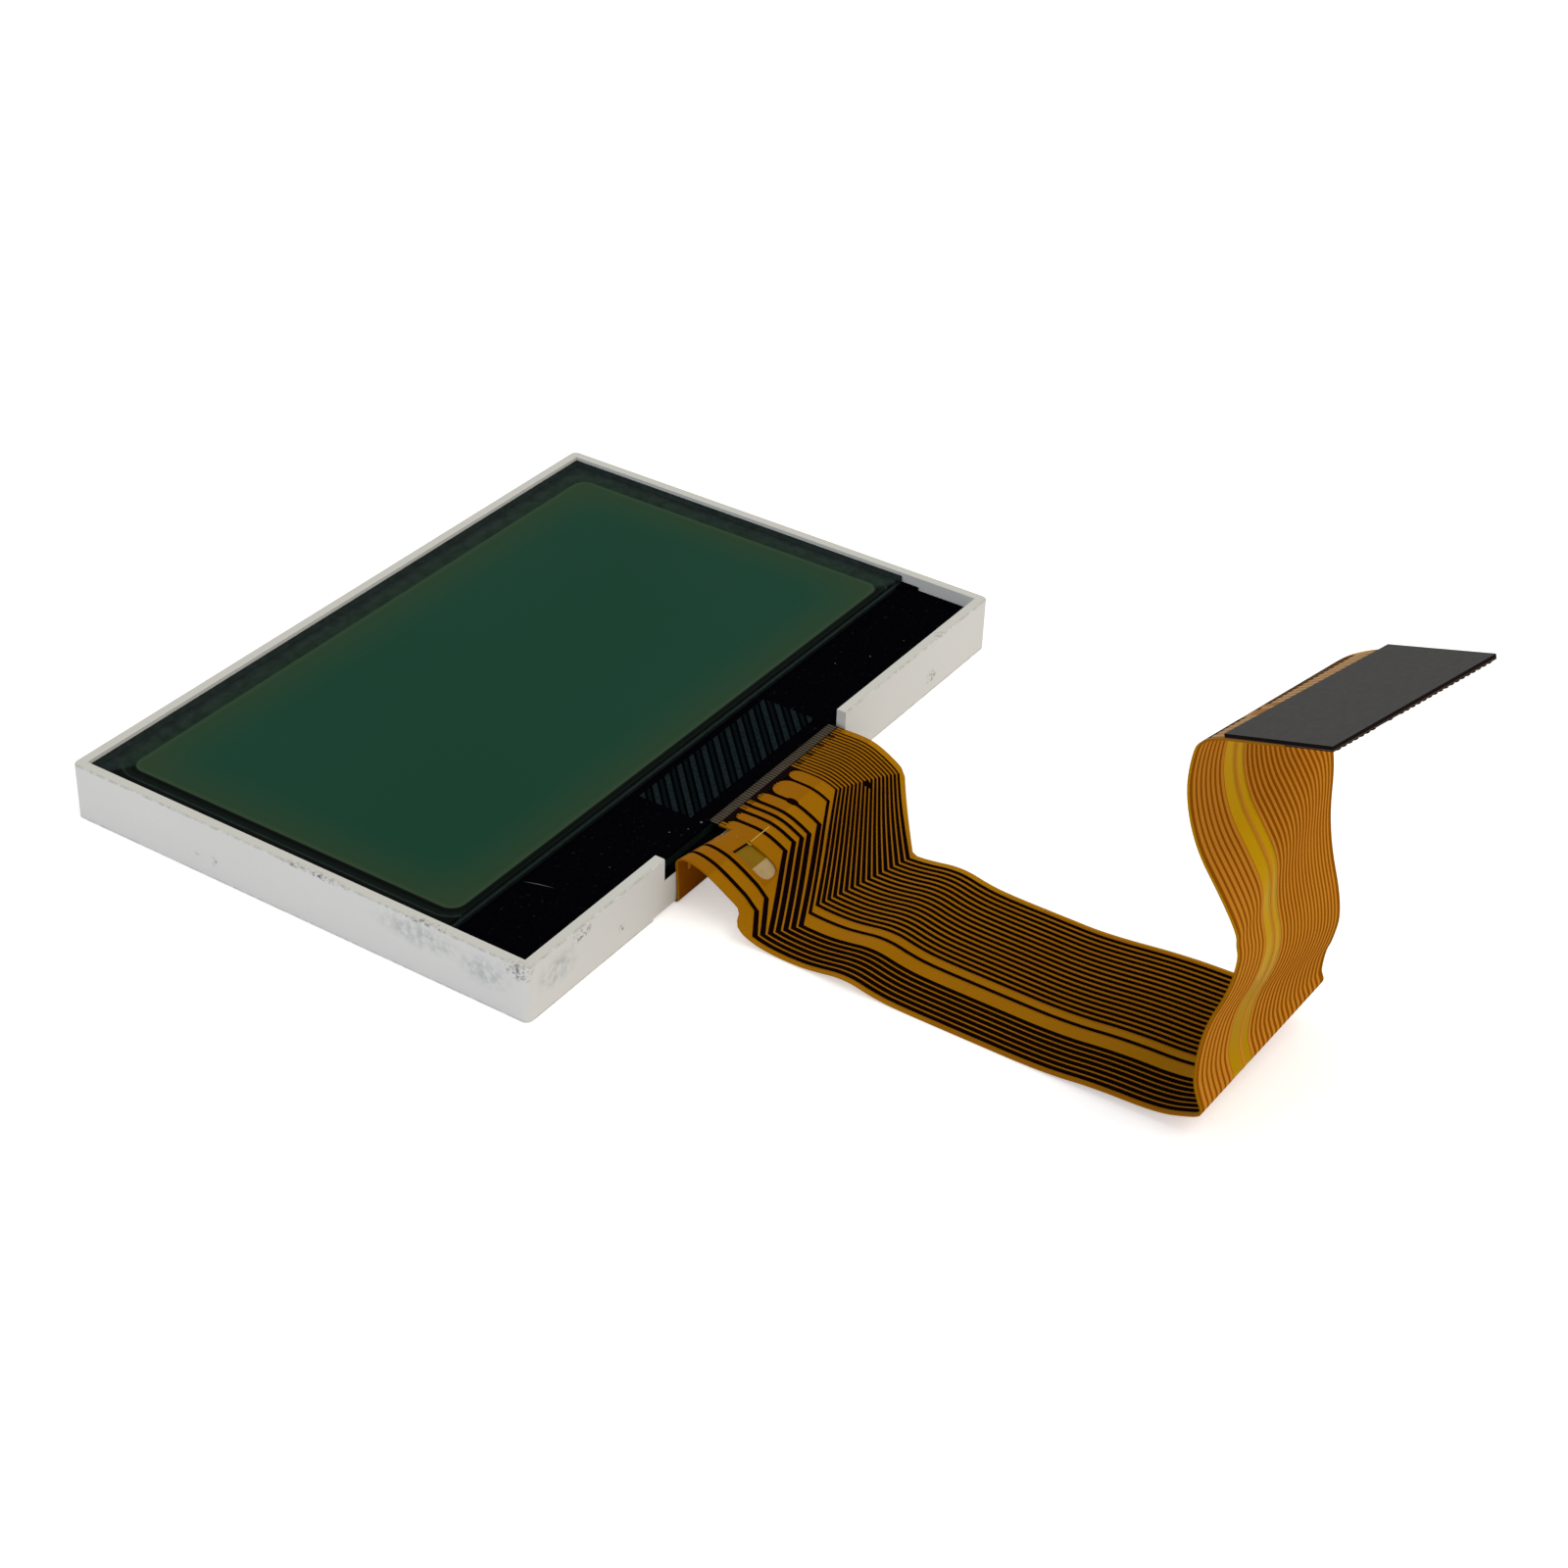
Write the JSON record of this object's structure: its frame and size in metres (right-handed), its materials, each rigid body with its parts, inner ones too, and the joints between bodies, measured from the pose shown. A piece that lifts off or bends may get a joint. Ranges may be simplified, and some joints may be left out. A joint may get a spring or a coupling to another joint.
{
  "type": "liquid crystal display module",
  "caption": "Small liquid crystal display panel in a white moulded backlight frame, with a folded amber flexible circuit tail that ends in a stiffened contact edge.",
  "frame": {"origin": "centre of the backlight frame's back face on the table", "axes": "+Z out of the display's viewing side, +X along the long side, the flexible circuit leaves towards -Y"},
  "size_m": [0.0554, 0.085, 0.0312],
  "materials": {
    "backlight_frame": "white moulded plastic, fine matt",
    "reflector_sheet": "white reflector film",
    "light_guide": "clear moulded plastic",
    "lower_diffuser": "milky film",
    "upper_diffuser": "milky film",
    "rear_polariser": "dark green grey film",
    "cell_tape": "black double sided tape",
    "rear_glass": "clear float glass",
    "perimeter_seal": "black border print",
    "liquid_crystal": "dark green layer",
    "front_glass": "clear float glass",
    "front_polariser": "satin dark green film",
    "fill_plug": "cured clear resin",
    "driver_chip": "bare silicon",
    "ledge_coat": "black coat",
    "ledge_bars": "dark grey print",
    "bond_film": "conductive adhesive film",
    "flex_base_film": "amber polyimide film",
    "flex_copper": "copper under amber film",
    "flex_coverlay": "amber polyimide film",
    "contact_plating": "gold flash",
    "stiffener_adhesive": "thin adhesive sheet",
    "stiffener": "dark grey sheet, matt",
    "lamp_board": "white board",
    "side_lamps": "white lamp bodies",
    "tab_solder": "solder"
  },
  "bodies": {
    "root": {"backlight_frame": "backlight_frame", "reflector_sheet": "reflector_sheet", "light_guide": "light_guide", "lower_diffuser": "lower_diffuser", "upper_diffuser": "upper_diffuser", "rear_polariser": "rear_polariser", "cell_tape": "cell_tape", "rear_glass": "rear_glass", "perimeter_seal": "perimeter_seal", "liquid_crystal": "liquid_crystal", "front_glass": "front_glass", "front_polariser": "front_polariser", "fill_plug": "fill_plug", "driver_chip": "driver_chip", "ledge_coat": "ledge_coat", "ledge_bars": "ledge_bars", "bond_film": "bond_film", "flex_base_film": "flex_base_film", "flex_copper": "flex_copper", "flex_coverlay": "flex_coverlay", "contact_plating": "contact_plating", "stiffener_adhesive": "stiffener_adhesive", "stiffener": "stiffener", "lamp_board": "lamp_board", "side_lamps": "side_lamps", "tab_solder": "tab_solder"}
  },
  "joints": []
}
